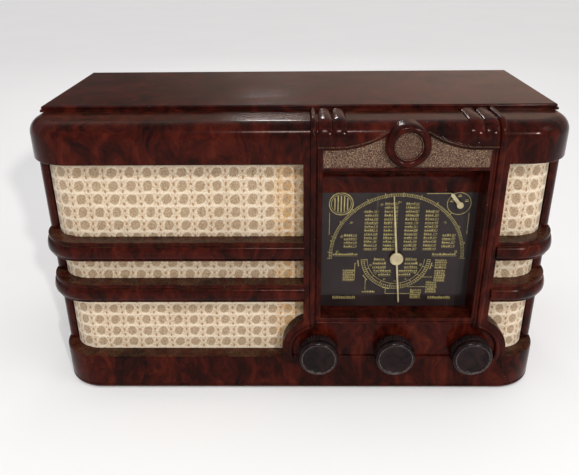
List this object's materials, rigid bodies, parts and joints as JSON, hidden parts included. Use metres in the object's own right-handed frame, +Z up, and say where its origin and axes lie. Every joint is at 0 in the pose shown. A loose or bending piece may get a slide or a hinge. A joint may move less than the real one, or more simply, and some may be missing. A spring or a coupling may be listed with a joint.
{
  "type": "tabletop radio",
  "caption": "Tabletop valve radio: mottled moulded case, cloth grilles behind ribs, printed glass dial with pointer and three turning knobs.",
  "frame": {"origin": "bottom centre of the whole radio's box, on the surface it stands on", "axes": "+X to the right as seen from the front, +Y to the rear, +Z up"},
  "size_m": [0.499, 0.2354, 0.286],
  "materials": {
    "bakelite": "polished dark red-brown mottled moulding, dusty ledges",
    "knob_bakelite": "near-black polished moulding, lightly worn rims",
    "grille_cloth": "cream openwork loudspeaker cloth with brown cells",
    "fibreboard": "matt brown pressed board",
    "felt": "dark grey felt",
    "brass": "dull brass",
    "plated_steel": "zinc-plated sheet steel, slightly yellowed",
    "turned_steel": "turned steel",
    "grey_paint": "grey enamel",
    "core_iron": "black lacquered iron with brown paper",
    "aluminium": "satin aluminium",
    "dial_print": "glass, printed behind in brown-black with dull gold",
    "clear_glass": "clear blown glass",
    "cream_enamel": "cream enamelled sheet",
    "cone_paper": "black felted paper",
    "drive_cord": "waxed braided cord",
    "rubber": "black rubber",
    "socket_phenolic": "brown phenolic"
  },
  "bodies": {
    "case": {"cabinet": "bakelite", "foot_front_left": "felt", "foot_front_right": "felt", "foot_rear_left": "felt", "foot_rear_right": "felt", "side_screw_left": "brass", "side_screw_right": "brass", "grille_cloth_left": "grille_cloth", "grille_cloth_right": "grille_cloth", "baffle_board_left": "fibreboard", "baffle_board_right": "fibreboard", "back_cover": "fibreboard", "back_cover_screw_left": "plated_steel", "back_cover_screw_right": "plated_steel", "speaker_basket": "grey_paint", "speaker_magnet": "core_iron", "output_transformer": "core_iron", "dial_glass": "dial_print", "dial_bracket": "plated_steel", "dial_lamp_left": "clear_glass", "dial_lamp_right": "clear_glass", "dial_drive_cord": "drive_cord", "band_cord": "drive_cord", "capacitor_stator": "aluminium", "capacitor_frame": "plated_steel", "volume_control": "grey_paint", "tuning_bush": "brass", "band_switch": "socket_phenolic", "chassis": "plated_steel", "power_transformer": "core_iron", "filter_capacitor": "aluminium", "if_can_1": "aluminium", "if_can_2": "aluminium", "mains_gland": "rubber", "voltage_selector": "socket_phenolic", "terminal_strip": "socket_phenolic", "valve_1_base": "socket_phenolic", "valve_1_bulb": "clear_glass", "valve_2_base": "socket_phenolic", "valve_2_bulb": "clear_glass", "valve_3_base": "socket_phenolic", "valve_3_bulb": "clear_glass", "valve_4_base": "socket_phenolic", "valve_4_bulb": "clear_glass", "valve_5_base": "socket_phenolic", "valve_5_bulb": "clear_glass"},
    "volume_control_turning": {"volume_knob": "knob_bakelite", "volume_shaft": "turned_steel"},
    "tuning_control_turning": {"tuning_knob": "knob_bakelite", "tuning_spindle": "turned_steel"},
    "band_control_turning": {"band_knob": "knob_bakelite", "band_shaft": "turned_steel"},
    "tuning_train": {"dial_pointer": "cream_enamel", "pointer_shaft": "turned_steel", "cord_drum": "aluminium", "capacitor_rotor": "aluminium"},
    "band_indicator": {"band_pointer": "cream_enamel", "band_pointer_shaft": "brass"},
    "cone_moving": {"speaker_cone": "cone_paper"}
  },
  "joints": [
    {"name": "volume_turn", "type": "hinge", "parent": "case", "child": "volume_control_turning", "pos_m": [0.02, -0.1003, 0.0485], "axis": [0, -1, 0], "range_deg": [-280, 0]},
    {"name": "tuning_turn", "type": "hinge", "parent": "case", "child": "tuning_control_turning", "pos_m": [0.096, -0.1003, 0.0485], "axis": [0, -1, 0], "range_deg": [-950, 840]},
    {"name": "pointer_turn", "type": "hinge", "parent": "case", "child": "tuning_train", "pos_m": [0.096, -0.0803, 0.1415], "axis": [0, -1, 0], "range_deg": [-95.4, 84.6]},
    {"name": "band_turn", "type": "hinge", "parent": "case", "child": "band_control_turning", "pos_m": [0.172, -0.1003, 0.0485], "axis": [0, -1, 0], "range_deg": [-114, 38]},
    {"name": "band_pointer_turn", "type": "hinge", "parent": "case", "child": "band_indicator", "pos_m": [0.152, -0.0803, 0.1981], "axis": [0, -1, 0], "range_deg": [-114.5, 38.5]},
    {"name": "cone_travel", "type": "slide", "parent": "case", "child": "cone_moving", "axis": [0, -1, 0], "range_m": [-0.001, 0.001], "stiffness_N_per_m": 1500}
  ],
  "couplings": [
    {"joint": "pointer_turn", "follows": "tuning_turn", "ratio": 0.1},
    {"joint": "band_pointer_turn", "follows": "band_turn", "ratio": 1}
  ]
}
